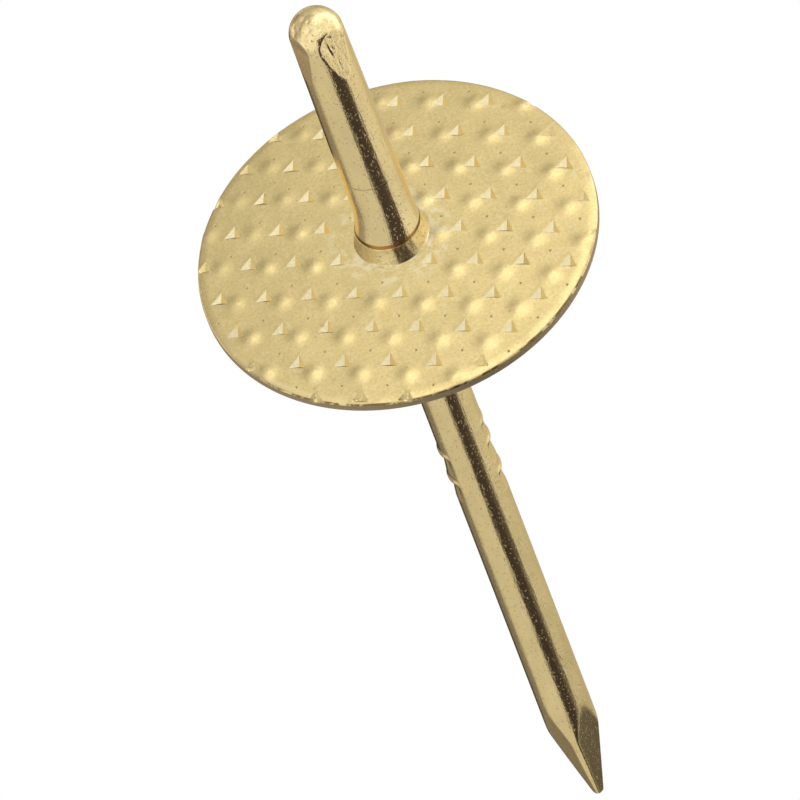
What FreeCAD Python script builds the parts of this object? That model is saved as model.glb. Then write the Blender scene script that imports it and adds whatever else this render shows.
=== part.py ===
import FreeCAD, Part
import math
import os
import Sketcher
from FreeCAD import Placement, Rotation, Vector

# Picture hook: a headed nail that carries a domed, embossed disc.
# The nail lies along Y. The wall is the plane y = 0, the shank goes into it towards +Y, and the
# hanging stub stands out of it towards -Y. X and Z lie in the wall, +Z up.

# Driving sizes in millimetres and degrees: alias, value, meaning.
SIZES = [
    ("shank_diameter", 2.05, "round wire of the nail"),
    ("seat_diameter", 2.08, "tapered swell of the wire under the stub, which holds the disc"),
    ("seat_reach", 0.25, "how far the swell runs on behind the disc's centre"),
    ("shank_length", 34.95, "from the wall plane to the end of the point"),
    ("point_length", 6.05, "length of each flat of the diamond point"),
    ("point_thickness", 0.36, "distance between opposite flats at the end of the point"),
    ("point_bow", 160.0, "radius of the slight bulge of the flats along the nail"),
    ("ridge_length", 4.40, "length of the narrow flat on each ridge between them"),
    ("ridge_thickness", 0.42, "distance between opposite ridges at the end of the point"),
    ("point_radius", 0.30, "blunt round end of the point"),
    ("point_turn", 57.0, "turn of the four flats about the nail"),
    ("notch_start", 12.35, "wall plane to the first deep grip notch"),
    ("notch_pitch", 1.86, "distance between grip notches of one depth"),
    ("notch_depth", 0.10, "deep grip notches, on both sides of the shank"),
    ("light_notch_depth", 0.05, "light grip notches between them, on one side"),
    ("notch_angle", 115.0, "included angle of the notches"),
    ("stub_length", 13.00, "hanging stub from its shoulder to its end"),
    ("stub_offset", 0.36, "stub axis beside the shank axis, from the heading dies"),
    ("stub_neck_diameter", 2.34, "stub where its flared foot ends"),
    ("stub_end_diameter", 2.14, "stub where its rounded end begins"),
    ("stub_end_rise", 0.95, "height of the rounded end"),
    ("end_flat_depth", 0.20, "flat that the dies pinched into the stub's end"),
    ("side_flat_depth", 0.12, "lighter flat beside it"),
    ("flat_turn", 63.0, "turn of the deeper flat about the stub, from X"),
    ("flat_length", 1.60, "flats at full depth, from the stub's end"),
    ("flat_run_out", 1.60, "length over which the flats run out along the stub"),
    ("foot_height", 1.60, "flared foot of the stub"),
    ("foot_diameter", 2.66, "foot where it sits on the collar"),
    ("foot_offset", 0.27, "foot centre beside the shank axis"),
    ("disc_diameter", 15.90, "outside of the disc"),
    ("disc_offset", 0.37, "disc centre beside the shank axis"),
    ("plate_thickness", 0.42, "sheet that the disc is stamped from"),
    ("dome_rise", 0.42, "centre of the disc in front of its rim"),
    ("rim_round", 0.12, "rolled front edge left by the blanking punch"),
    ("collar_height", 0.74, "drawn collar in front of the disc's centre"),
    ("collar_wall", 0.09, "wall of the drawn collar"),
    ("collar_foot_round", 0.56, "wide bend at the foot of the collar"),
    ("hole_entry_round", 0.25, "bend at the back, where the hole is drawn in"),
    ("pit_pitch", 1.835, "distance between neighbouring embossed pits"),
    ("pit_side", 0.68, "side of a three-cornered pit at the surface"),
    ("pit_depth", 0.24, "depth of a pit"),
    ("pit_turn", -25.80, "turn of the rows of pits from X"),
    ("pit_shift_x", -0.725, "one pit's place from the disc centre along X"),
    ("pit_shift_z", -1.025, "one pit's place from the disc centre along Z"),
    ("plain_ring", 0.24, "plain metal between the collar's bend and the nearest pits"),
]

# A coordinate below this is on the axis.
ON_AXIS_LIMIT = 1e-9
FULL_TURN = 360.0
QUARTER_TURN = 90.0
EIGHTH_TURN = 45.0
# Rows of pits stand this far apart, as in any lattice of equal triangles.
ROW_TURN = 60.0
PIT_CORNERS = 3
POINT_FLATS = 4
NOTCHED_SIDES = 2
# Points tried on an edge, and the share of its radius that they may be off.
EDGE_POINTS = 8
EDGE_SLACK = 0.001
# How far cutters reach past the surface that they cut, as a share of their own size.
CUTTER_REACH = 0.5

doc = FreeCAD.newDocument("picture_hook")
sizes = doc.addObject("Spreadsheet::Sheet", "sizes")
for row, (alias, value, meaning) in enumerate(SIZES, start=1):
    sizes.set(f"A{row}", meaning)
    sizes.set(f"B{row}", str(value))
    sizes.setAlias(f"B{row}", alias)
doc.recompute()

# Levels along Y and radii that several features share, as expressions of the sheet.
SHANK_R = "sizes.shank_diameter / 2"
SEAT_R = "sizes.seat_diameter / 2"
DISC_R = "sizes.disc_diameter / 2"
DISC_BACK = "-sizes.dome_rise"
DISC_FRONT = "-(sizes.dome_rise + sizes.plate_thickness)"
SHOULDER = "-(sizes.dome_rise + sizes.plate_thickness + sizes.collar_height)"
SEAT_END = f"{DISC_BACK} + sizes.seat_reach"
FOOT_TOP = f"{SHOULDER} - sizes.foot_height"
STUB_END = f"{SHOULDER} - sizes.stub_length"
COLLAR_R = "sizes.seat_diameter / 2 + sizes.collar_wall"
# The disc's back is part of a sphere through the rim, and its front runs one sheet outside it.
BACK_SPHERE_R = f"(({DISC_R})^2 + sizes.dome_rise^2) / (2 * sizes.dome_rise)"
FRONT_SPHERE_R = f"({BACK_SPHERE_R}) + sizes.plate_thickness"
SPHERE_CENTRE = f"({BACK_SPHERE_R}) - sizes.dome_rise"
FRONT_RIM = f"({SPHERE_CENTRE}) - sqrt(({FRONT_SPHERE_R})^2 - ({DISC_R})^2)"


def worth(expression):
    """The number that an expression of the sheet stands for."""
    return float(sizes.evalExpression(expression.replace("sizes.", "")))


def sketch_on(body, name, role):
    """A sketch on one of the body's own origin planes."""
    plane = next(feature for feature in body.Origin.OriginFeatures if feature.Role == role)
    sketch = body.newObject("Sketcher::SketchObject", name)
    sketch.AttachmentSupport = [(plane, "")]
    sketch.MapMode = "FlatFace"
    return sketch


def tie(sketch, element, end, axis, expression):
    """Ties one coordinate of a point in a sketch to an expression of the sheet."""
    value = worth(expression)
    if abs(value) < ON_AXIS_LIMIT:
        line = -2 if axis == "X" else -1
        sketch.addConstraint(Sketcher.Constraint("PointOnObject", element, end, line))
        return
    ends = (-1, 1, element, end) if value > 0 else (element, end, -1, 1)
    index = sketch.addConstraint(Sketcher.Constraint("Distance" + axis, *ends, abs(value)))
    sketch.setExpression(f"Constraints[{index}]", expression if value > 0 else f"-({expression})")


def arc_between(start, stop, radius):
    """The shorter arc from start to stop; a positive radius puts its centre on the left."""
    chord = stop - start
    across = Vector(-chord.y, chord.x, 0).normalize()
    away = math.sqrt(max(radius ** 2 - chord.Length ** 2 / 4, 0))
    centre = (start + stop) / 2 + across * math.copysign(away, radius)
    from_centre = [math.atan2(point.y - centre.y, point.x - centre.x) for point in (start, stop)]
    if radius < 0:
        from_centre.reverse()
    whole = Part.Circle(centre, Vector(0, 0, 1), abs(radius))
    return Part.ArcOfCircle(whole, from_centre[0], from_centre[1])


def draw(sketch, corners):
    """Closed outline through corners (x, y, bend), each an expression of the sheet.

    The bend is None for a straight side to the next corner, or the radius of an arc, with a
    minus in front where the arc's centre lies on the right of the way round.
    """
    first = sketch.GeometryCount
    points = [Vector(worth(x), worth(y), 0) for x, y, _ in corners]
    ends = []
    for index, (_, _, bend) in enumerate(corners):
        start, stop = points[index], points[(index + 1) % len(points)]
        if bend is None:
            sketch.addGeometry(Part.LineSegment(start, stop))
            ends.append((1, 2))
        else:
            radius = worth(bend)
            sketch.addGeometry(arc_between(start, stop, radius))
            ends.append((1, 2) if radius > 0 else (2, 1))
    for index, (x, y, bend) in enumerate(corners):
        element = first + index
        before = (index - 1) % len(corners)
        joint = (first + before, ends[before][1], element, ends[index][0])
        sketch.addConstraint(Sketcher.Constraint("Coincident", *joint))
        tie(sketch, element, ends[index][0], "X", x)
        tie(sketch, element, ends[index][0], "Y", y)
        if bend is not None:
            length = abs(worth(bend))
            number = sketch.addConstraint(Sketcher.Constraint("Radius", element, length))
            sketch.setExpression(f"Constraints[{number}]", bend.lstrip("-"))


def circle(sketch, x, y, radius):
    """A circle whose centre and radius are expressions of the sheet."""
    shape = Part.Circle(Vector(worth(x), worth(y), 0), Vector(0, 0, 1), worth(radius))
    element = sketch.addGeometry(shape)
    tie(sketch, element, 3, "X", x)
    tie(sketch, element, 3, "Y", y)
    index = sketch.addConstraint(Sketcher.Constraint("Radius", element, worth(radius)))
    sketch.setExpression(f"Constraints[{index}]", radius)


def revolve(body, name, corners, offset=None, kind="Revolution"):
    """Turns an outline in the XY plane about Y, or about a line beside it; a Groove is cut away."""
    sketch = sketch_on(body, name + "_outline", "XY_Plane")
    if offset:
        sketch.setExpression("AttachmentOffset.Base.x", offset)
    draw(sketch, corners)
    doc.recompute()
    solid = body.newObject("PartDesign::" + kind, name)
    solid.Profile = sketch
    solid.ReferenceAxis = (sketch, ["V_Axis"])
    solid.Angle = FULL_TURN
    doc.recompute()
    return solid


def cut_across(body, name, outlines, turn=None, offset=None):
    """Cuts outlines of the XY plane right across the body, turned about Y or a line beside it."""
    sketch = sketch_on(body, name + "_outline", "XY_Plane")
    if turn:
        sketch.AttachmentOffset = Placement(Vector(), Rotation(Vector(0, 1, 0), worth(turn)))
        sketch.setExpression("AttachmentOffset.Rotation.Angle", f"({turn}) * 1 deg")
    if offset:
        sketch.setExpression("AttachmentOffset.Base.x", offset)
    for corners in outlines:
        draw(sketch, corners)
    doc.recompute()
    before = body.Shape.Volume
    pocket = body.newObject("PartDesign::Pocket", name)
    pocket.Profile = sketch
    pocket.SideType = "Symmetric"
    pocket.Type = "ThroughAll"
    doc.recompute()
    if not body.Shape.Volume < before:
        raise RuntimeError(name + " cuts nothing")
    return pocket


def repeat_round(body, name, feature, count):
    """Repeats a cut evenly round the nail's axis."""
    pattern = body.newObject("PartDesign::PolarPattern", name)
    pattern.Originals = [feature]
    axis = next(part for part in body.Origin.OriginFeatures if part.Role == "Y_Axis")
    pattern.Axis = (axis, [""])
    pattern.Angle = FULL_TURN
    pattern.Occurrences = count
    body.Tip = pattern
    doc.recompute()


def notch(level, depth):
    """Outline of a V notch in the +X side of the shank at a level along Y."""
    reach = f"({SHANK_R} + sizes.{depth})"
    bottom = f"({SHANK_R} - sizes.{depth})"
    half = f"2 * sizes.{depth} * tan(sizes.notch_angle * 0.5 deg)"
    return [
        (bottom, level, None),
        (reach, f"{level} + {half}", None),
        (reach, f"{level} - {half}", None),
    ]


def make_nail():
    """Shank, stub, flared foot, diamond point and grip notches of the one-piece nail."""
    body = doc.addObject("PartDesign::Body", "nail")
    body.Label = "nail"
    tip = "sizes.shank_length"
    tip_start = "sizes.shank_length - sizes.point_radius"
    revolve(body, "shank", [
        ("0", SHOULDER, None),
        (SEAT_R, SHOULDER, None),
        (SHANK_R, SEAT_END, None),
        (SHANK_R, tip_start, None),
        ("sizes.point_radius", tip_start, "sizes.point_radius"),
        ("0", tip, None),
    ])

    # The flared foot is a round loft, from its ring on the collar to the stub's own axis.
    rings = []
    for name, centre, diameter, level in (
        ("foot_ring", "sizes.foot_offset", "sizes.foot_diameter", SHOULDER),
        ("neck_ring", "sizes.stub_offset", "sizes.stub_neck_diameter", FOOT_TOP),
    ):
        ring = sketch_on(body, name, "XZ_Plane")
        # The plane's own normal points along -Y.
        ring.setExpression("AttachmentOffset.Base.z", f"-({level})")
        circle(ring, centre, "0", f"{diameter} / 2")
        rings.append(ring)
    doc.recompute()
    foot = body.newObject("PartDesign::AdditiveLoft", "stub_foot")
    foot.Profile = rings[0]
    foot.Sections = [rings[1]]
    foot.Ruled = True
    doc.recompute()

    neck_r = "sizes.stub_neck_diameter / 2"
    end_r = "sizes.stub_end_diameter / 2"
    end_start = f"{STUB_END} + sizes.stub_end_rise"
    crown_r = f"(({end_r})^2 + sizes.stub_end_rise^2) / (2 * sizes.stub_end_rise)"
    revolve(body, "stub", [
        ("0", STUB_END, crown_r),
        (end_r, end_start, None),
        (neck_r, FOOT_TOP, None),
        ("0", FOOT_TOP, None),
    ], offset="sizes.stub_offset")

    # Two flats on the stub's end, a quarter turn apart, run out along it.
    beyond = f"{STUB_END} - ({end_r}) * {CUTTER_REACH}"
    flat_end = f"{STUB_END} + sizes.flat_length"
    outside = f"({end_r}) * {1 + CUTTER_REACH}"
    # Their slope leaves the skin one run-out past the flat and goes on as far again.
    clear = f"{flat_end} + 2 * sizes.flat_run_out"
    for name, depth, turn in (
        ("end_flat", "sizes.end_flat_depth", "sizes.flat_turn"),
        ("side_flat", "sizes.side_flat_depth", f"sizes.flat_turn + {QUARTER_TURN}"),
    ):
        cut_across(body, name, [[
            (f"{end_r} - {depth}", beyond, None),
            (f"{end_r} - {depth}", flat_end, None),
            (f"{end_r} + {depth}", clear, None),
            (outside, clear, None),
            (outside, beyond, None),
        ]], turn=turn, offset="sizes.stub_offset")

    # A flat of the point leans from the wire's skin to the thin end, and so does a narrow one on
    # the ridge beside it. Each is cut four times.
    reach = f"({SHANK_R}) * {1 + CUTTER_REACH}"
    for name, length, thickness, bow, turn in (
        ("point", "sizes.point_length", "sizes.point_thickness", "sizes.point_bow", "sizes.point_turn"),
        ("ridges", "sizes.ridge_length", "sizes.ridge_thickness", None,
         f"sizes.point_turn + {EIGHTH_TURN}"),
    ):
        flat_start = f"sizes.shank_length - {length}"
        flat = cut_across(body, name + "_flat", [[
            (SHANK_R, flat_start, bow),
            (f"{thickness} / 2", tip, None),
            (reach, tip, None),
            (reach, flat_start, None),
        ]], turn=turn)
        repeat_round(body, name, flat, POINT_FLATS)

    levels = ["sizes.notch_start", "sizes.notch_start + sizes.notch_pitch"]
    deep = cut_across(body, "deep_notches", [notch(level, "notch_depth") for level in levels])
    repeat_round(body, "deep_notch_pairs", deep, NOTCHED_SIDES)
    light_levels = [f"{level} - sizes.notch_pitch / 2" for level in levels]
    cut_across(body, "light_notches", [notch(level, "light_notch_depth") for level in light_levels])
    return body


def edge_round(body, name, radius, found):
    """Rounds the one edge of the body that the test finds."""
    base = body.Tip
    edges = [f"Edge{n}" for n, edge in enumerate(base.Shape.Edges, start=1) if found(edge)]
    if len(edges) != 1:
        raise RuntimeError(f"{name} found {len(edges)} edges")
    fillet = body.newObject("PartDesign::Fillet", name)
    fillet.Base = (base, edges)
    fillet.setExpression("Radius", radius)
    doc.recompute()


def ring_edge(radius, low, high):
    """Test for a ring about the nail's axis with this radius, between two levels along Y."""
    def found(edge):
        points = edge.discretize(EDGE_POINTS)
        round_axis = all(abs(math.hypot(p.x, p.z) - radius) < radius * EDGE_SLACK for p in points)
        return round_axis and all(low < p.y < high for p in points)
    return found


def make_disc_blank():
    """The domed sheet with its drawn collar, before embossing."""
    body = doc.addObject("PartDesign::Body", "disc_blank")
    body.Label = "disc_blank"
    rim_corner = f"{FRONT_RIM} + sizes.rim_round"
    rim_inner = f"({DISC_R} - sizes.rim_round)"
    front_inner = f"({SPHERE_CENTRE}) - sqrt(({FRONT_SPHERE_R})^2 - {rim_inner}^2)"
    revolve(body, "sheet", [
        ("0", DISC_FRONT, FRONT_SPHERE_R),
        (rim_inner, front_inner, "sizes.rim_round"),
        (DISC_R, rim_corner, None),
        (DISC_R, "0", f"-({BACK_SPHERE_R})"),
        ("0", DISC_BACK, None),
    ], offset="sizes.disc_offset")

    # The collar grows out of the middle of the sheet, and the hole follows the seat on the nail.
    middle = "-(sizes.dome_rise + sizes.plate_thickness / 2)"
    revolve(body, "collar", [
        ("0", SHOULDER, None),
        (COLLAR_R, SHOULDER, None),
        (COLLAR_R, middle, None),
        ("0", middle, None),
    ])
    before = body.Shape.Volume
    revolve(body, "hole", [
        ("0", SHOULDER, None),
        (SEAT_R, SHOULDER, None),
        (SHANK_R, SEAT_END, None),
        ("0", SEAT_END, None),
    ], kind="Groove")
    if not body.Shape.Volume < before:
        raise RuntimeError("hole cuts nothing")

    half_sheet = worth("sizes.plate_thickness") / 2
    front, back = worth(DISC_FRONT), worth(DISC_BACK)
    foot = ring_edge(worth(COLLAR_R), front - half_sheet, front + half_sheet)
    edge_round(body, "collar_bend", "sizes.collar_foot_round", foot)
    seat_slope = f"({SEAT_R} - {SHANK_R}) / ({SEAT_END} - ({SHOULDER}))"
    entry_r = worth(f"{SHANK_R} + sizes.seat_reach * {seat_slope}")
    entry = ring_edge(entry_r, back - half_sheet, back + half_sheet)
    edge_round(body, "hole_bend", "sizes.hole_entry_round", entry)
    return body


def front_level(radius):
    """Y of the domed front at a distance from the disc's centre."""
    return worth(SPHERE_CENTRE) - math.sqrt(worth(FRONT_SPHERE_R) ** 2 - radius ** 2)


def pit_cutter(x, z, level):
    """A three-sided pyramid with its tip one pit depth behind the front and its base before it."""
    depth, side = sizes.pit_depth, sizes.pit_side
    base_level = level - depth * CUTTER_REACH
    base_radius = side / math.sqrt(3) * (1 + CUTTER_REACH)
    base = []
    for corner in range(PIT_CORNERS):
        angle = math.radians(sizes.pit_turn + QUARTER_TURN + FULL_TURN / PIT_CORNERS * corner)
        base.append(Vector(x + base_radius * math.cos(angle), base_level,
                           z + base_radius * math.sin(angle)))
    tip = Vector(x, level + depth, z)
    sides = [(base[k - 1], base[k], tip) for k in range(PIT_CORNERS)] + [tuple(base)]
    faces = [Part.Face(Part.makePolygon(list(side) + [side[0]])) for side in sides]
    solid = Part.Solid(Part.Shell(faces))
    if solid.Volume < 0:
        solid.reverse()
    return solid


def pit_places():
    """Places of the pits: a lattice of equal triangles, from the plain ring out to the rim."""
    pitch, turn = sizes.pit_pitch, math.radians(sizes.pit_turn)
    rows = [(pitch * math.cos(turn + lean), pitch * math.sin(turn + lean))
            for lean in (0, math.radians(ROW_TURN))]
    rim = sizes.disc_diameter / 2 - sizes.rim_round
    nearest = worth(COLLAR_R) + sizes.collar_foot_round + sizes.plain_ring
    reach = math.ceil(sizes.disc_diameter / pitch)
    places = []
    for i in range(-reach, reach + 1):
        for j in range(-reach, reach + 1):
            x = sizes.pit_shift_x + i * rows[0][0] + j * rows[1][0]
            z = sizes.pit_shift_z + i * rows[0][1] + j * rows[1][1]
            if math.hypot(x, z) < rim and math.hypot(x + sizes.disc_offset, z) > nearest:
                places.append((x, z))
    return places


def make_disc(blank):
    """The disc: its blank with a field of three-cornered pits pressed into the front."""
    cutters = [pit_cutter(x + sizes.disc_offset, z, front_level(math.hypot(x, z)))
               for x, z in pit_places()]
    field = doc.addObject("Part::Feature", "pit_field")
    field.Shape = Part.makeCompound(cutters)
    disc = doc.addObject("Part::Cut", "disc")
    disc.Base = blank
    disc.Tool = field
    disc.Label = "disc"
    doc.recompute()
    if not disc.Shape.Volume < blank.Shape.Volume:
        raise RuntimeError("the pits cut nothing")
    return disc


parts = [make_nail(), make_disc(make_disc_blank())]
doc.recompute()

for item in doc.Objects:
    if "Invalid" in item.State or "Error" in item.State:
        raise RuntimeError(f"{item.Name} failed: {item.State}")
for part in parts:
    if part.Shape.isNull() or not part.Shape.isValid():
        raise RuntimeError(part.Label + " has no valid shape")

os.makedirs("parts", exist_ok=True)
for part in parts:
    part.Shape.exportStep(f"parts/{part.Label}.step")
    print(part.Label, len(part.Shape.Solids), "solid", round(part.Shape.Volume, 3), "mm3")
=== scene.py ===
"""Picture hook: a headed nail with a diamond point and the embossed disc that it carries."""
import math
from types import SimpleNamespace

import bpy
import numpy as np
from bpy.props import FloatProperty, FloatVectorProperty, IntProperty, PointerProperty
from mathutils import Matrix, Vector


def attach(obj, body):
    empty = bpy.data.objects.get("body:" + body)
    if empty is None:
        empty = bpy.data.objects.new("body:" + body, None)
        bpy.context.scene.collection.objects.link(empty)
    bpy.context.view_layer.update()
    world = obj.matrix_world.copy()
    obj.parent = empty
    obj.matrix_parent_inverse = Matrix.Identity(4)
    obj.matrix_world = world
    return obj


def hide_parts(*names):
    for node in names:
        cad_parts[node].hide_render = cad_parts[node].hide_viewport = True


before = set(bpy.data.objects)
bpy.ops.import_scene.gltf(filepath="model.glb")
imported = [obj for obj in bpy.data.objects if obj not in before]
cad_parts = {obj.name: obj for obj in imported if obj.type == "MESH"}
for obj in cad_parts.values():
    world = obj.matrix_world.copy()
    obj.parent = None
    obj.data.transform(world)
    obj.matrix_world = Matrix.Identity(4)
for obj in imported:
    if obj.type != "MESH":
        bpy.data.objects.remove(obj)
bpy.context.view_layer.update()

bl_info = {
    "name": "Picture hook",
    "version": (1, 0, 0),
    "blender": (4, 5, 0),
    "location": "View3D > Sidebar > Hook",
    "description": "Builds a brass picture hook: the nail, its embossed disc and a small stage",
    "category": "Object",
}

# Meshes are worked out in millimetres and stored in metres.
MM = 0.001
TURN = 2.0 * math.pi


def length(label, millimetres, meaning):
    """A length property in metres whose default is given in millimetres."""
    return FloatProperty(name=label, description=meaning, default=millimetres * MM,
                         precision=5, unit="LENGTH")


def angle(label, degrees, meaning):
    """An angle property whose default is given in degrees."""
    return FloatProperty(name=label, description=meaning, default=math.radians(degrees),
                         subtype="ANGLE", unit="ROTATION")


def share(label, value, meaning):
    """A property that is a plain share from none to all."""
    return FloatProperty(name=label, description=meaning, default=value, min=0.0, subtype="FACTOR")


def colour(label, value, meaning):
    """A linear colour property."""
    return FloatVectorProperty(name=label, description=meaning, default=value, size=3,
                               min=0.0, max=1.0, subtype="COLOR")


class HookNailSizes(bpy.types.PropertyGroup):
    """Sizes of the nail."""

    shank_radius: length("Shank radius", 1.025, "Round wire of the shank")
    seat_radius: length("Seat radius", 1.04, "Tapered swell that holds the disc")
    shoulder: length("Shoulder", -1.58, "Level of the stub's foot, where it sits on the collar")
    foot_top: length("Foot top", -3.60, "Level where the flared foot runs into the stub")
    stub_end: length("Stub end", -14.575, "Level of the stub's rounded end")
    stub_offset: length("Stub offset", 0.36, "Stub axis beside the shank axis")
    foot_offset: length("Foot offset", 0.27, "Foot centre beside the shank axis")
    end_radius: length("End radius", 1.07, "Stub where its rounded end begins")
    end_rise: length("End rise", 0.95, "Height of the rounded end")
    neck_radius: length("Neck radius", 1.165, "Stub where its foot ends")
    foot_radius: length("Foot radius", 1.325, "Foot on the collar")
    tip: length("Tip", 34.945, "End of the point")
    end_flat: length("End flat", 0.20, "Depth of the flat that the dies pinched into the stub's end")
    side_flat: length("Side flat", 0.12, "Depth of the lighter flat beside it")
    flat_turn: angle("Flat turn", 63.0, "Turn of the deeper flat about the stub")
    flat_length: length("Flat length", 1.25, "Flats at full depth, from the stub's end")
    flat_run: length("Flat run-out", 1.65, "Length over which the flats run out")
    point_length: length("Point length", 6.05, "Length of each flat of the point")
    point_half: length("Point half", 0.18, "Half of the thickness between flats at the tip")
    point_bulge: length("Point bulge", 0.029, "Slight bulge of the flats halfway along them")
    ridge_length: length("Ridge length", 4.40, "Length of the narrow flat on each ridge")
    ridge_half: length("Ridge half", 0.21, "Half of the thickness between ridges at the tip")
    point_round: length("Point round", 0.30, "Blunt round end of the point")
    point_turn: angle("Point turn", 57.0, "Turn of the flats about the nail")
    notch_first: length("First notch", 12.35, "Level of the first deep grip notch")
    notch_pitch: length("Notch pitch", 1.86, "Distance between deep notches")
    notch_depth: length("Notch depth", 0.085, "Depth of the deep notches")
    light_depth: length("Light depth", 0.04, "Depth of the light notches")
    around: IntProperty(name="Around", description="Points round the nail", default=160, min=32)


class HookDiscSizes(bpy.types.PropertyGroup):
    """Sizes of the disc and its embossing."""

    radius: length("Radius", 7.945, "Outside of the disc")
    offset: length("Offset", 0.37, "Disc centre beside the shank axis")
    thickness: length("Thickness", 0.42, "Sheet of the disc")
    dome: length("Dome", 0.42, "Centre of the disc in front of its rim")
    rim_round: length("Rim round", 0.12, "Rolled front edge")
    roll_width: length("Roll width", 0.42, "Band beside the edge that the blanking rolled back")
    roll_depth: length("Roll depth", 0.06, "How far that band drops at the edge")
    collar_height: length("Collar height", 0.74, "Drawn collar in front of the disc's centre")
    collar_top: length("Collar top", 1.28, "Outside of the collar under the stub's foot")
    collar_foot: length("Collar foot", 1.50, "Outside of the collar where it meets the sheet")
    top_offset: length("Top offset", 0.20, "Collar's top beside the shank axis")
    foot_offset: length("Foot offset", 0.25, "Collar's foot beside the shank axis")
    plain_reach: length("Plain reach", 1.60, "Metal round the shank that holds no pits")
    hole_bend: length("Hole bend", 0.25, "Bend at the back of the hole")
    pit_pitch: length("Pit pitch", 1.835, "Distance between neighbouring pits")
    pit_depth: length("Pit depth", 0.24, "Depth of a pit")
    pit_turn: angle("Pit turn", -25.8, "Turn of the rows of pits")
    pit_x: length("Pit X", -0.725, "One pit's place from the disc centre, across")
    pit_z: length("Pit Z", -1.025, "One pit's place from the disc centre, upwards")
    bump_height: length("Bump height", 0.085, "Soft bumps raised by the die behind")
    bump_radius: length("Bump radius", 0.33, "Reach of a soft bump")
    dot_depth: length("Dot depth", 0.055, "Pinpricks between the pits")


class HookFinish(bpy.types.PropertyGroup):
    """Colours and gloss of the plating, and the colours of painted light and shade on it."""

    brass: colour("Brass", (0.84, 0.668, 0.325), "Plating on the nail")
    satin: colour("Satin brass", (0.82, 0.642, 0.285), "Plating on the disc")
    edge: colour("Cut edge", (0.50, 0.40, 0.25), "Sheared edge of the sheet")
    # Painted shade: the dark colour put in the gaps, creases, pits, pinpricks and nicks and on the
    # collar's wall.
    painted_shade: colour("Soil", (0.11, 0.06, 0.022), "Dark line in gaps")
    # Orange-brown middle of the painted shade line in the gap under the stub's foot.
    gap_orange: colour("Rust", (0.52, 0.21, 0.035), "Brown line under the stub's foot")
    # Deep gold: a painted reflection of brass in brass on the pits' right sides and the collar's flanks,
    # and the base of the stains.
    deep_gold_and_reflection: colour("Glow", (0.84, 0.60, 0.22), "Brass that shows more brass in itself")
    # Bright worn metal in the disc's light grain, and the colour of painted highlights and glints on the
    # stub's end, the pits' upper sides and round the collar.
    wear_and_highlight: colour("Worn", (0.98, 0.88, 0.57), "Bright worn metal")
    polish: share("Polish", 0.09, "Roughness of the nail")
    satin_rough: share("Satin roughness", 0.24, "Roughness of the disc")


class HookStage(bpy.types.PropertyGroup):
    """Stage and camera."""

    azimuth: angle("Azimuth", 0.0, "Camera round the hook")
    elevation: angle("Elevation", -40.48, "Camera above the horizon")
    roll: angle("Roll", 21.17, "Turn of the camera about its own line of sight")
    view_width: length("View width", 31.053, "Width of the picture at the disc")
    aim_x: length("Aim X", -1.739, "Point in the middle of the picture, across")
    aim_y: length("Aim Y", 8.468, "Point in the middle of the picture, along the nail")
    floor_level: length("Floor level", -900.0, "Height of the floor")
    floor: colour("Floor", (0.86, 0.86, 0.86), "Pale floor")


# Mesh helpers


def smooth_step(value, low, high):
    """0 below low, 1 above high, and 3t^2 - 2t^3 between them."""
    t = np.clip((value - low) / (high - low), 0.0, 1.0)
    return t * t * (3.0 - 2.0 * t)


def add_mesh(name, points, faces, material):
    """An object at the origin with a mesh of points in metres."""
    mesh = bpy.data.meshes.new(name)
    mesh.from_pydata(points, [], faces)
    mesh.materials.append(material)
    made = bpy.data.objects.new(name, mesh)
    bpy.context.scene.collection.objects.link(made)
    return made


def add_piece(name, points, faces, sharp_degrees, material, node):
    """Puts points in millimetres and faces into a mesh that stands for a node of the frame."""
    piece = add_mesh(name, points * MM, faces, material)
    mesh = piece.data
    mesh.validate()
    mesh.polygons.foreach_set("use_smooth", np.ones(len(mesh.polygons), bool))
    mesh.set_sharp_from_angle(angle=math.radians(sharp_degrees))
    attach(piece, "root")
    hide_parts(node)
    # The polished metal mirrors the stage and not the other piece.
    piece.visible_glossy = False
    return piece


def grid_faces(rows, columns, close=True):
    """Quads between neighbouring rows of a grid whose columns may close into a ring."""
    index = np.arange(rows * columns).reshape(rows, columns)
    after = np.roll(index, -1, axis=1) if close else index[:, 1:]
    here = index if close else index[:, :-1]
    return np.stack([here[:-1], after[:-1], after[1:], here[1:]], axis=-1).reshape(-1, 4)


def in_mm(group):
    """The group's lengths in millimetres, and its other numbers as they are."""
    found = {}
    for key in group.bl_rna.properties.keys():
        prop = group.bl_rna.properties[key]
        if prop.type in {"FLOAT", "INT"} and not getattr(prop, "is_array", False):
            scale = 1.0 / MM if prop.unit == "LENGTH" else 1.0
            found[key] = getattr(group, key) * scale
    return SimpleNamespace(**found)


# Nail


# Lengths here are in millimetres. Easing of the point's edges.
POINT_SOFTNESS = 0.02
# Round under the stub's foot, and how the foot's flare grows: 1 would be a straight cone.
LIP_ROUND = 0.06
FOOT_POWER = 2.2
# Level where the tapered seat ends.
SEAT_END = -0.15
# Rings along the stub, then along the seat, upper shank, grip marks, lower shank and point, and its end.
CAP_RINGS, STUB_RINGS, FOOT_RINGS, LIP_RINGS = 30, 130, 36, 7
SHANK_RINGS, TIP_RINGS = (12, 40, 170, 50, 110), 14
# The finer rings reach this far before and past the deep grip marks, and before the point.
GRIP_BEFORE, GRIP_AFTER, POINT_BEFORE = 2.2, 1.2, 0.2
# In radians: the first ring's angle from the stub's pole, and how far round the point's end rings go.
CAP_START, TIP_SWEEP = 0.02, 0.49 * math.pi
# A flat whose cosine is less than this bounds nothing, and a long radius stands for that.
LEAST_LEAN, NO_BOUND = 0.05, 9.0
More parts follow.
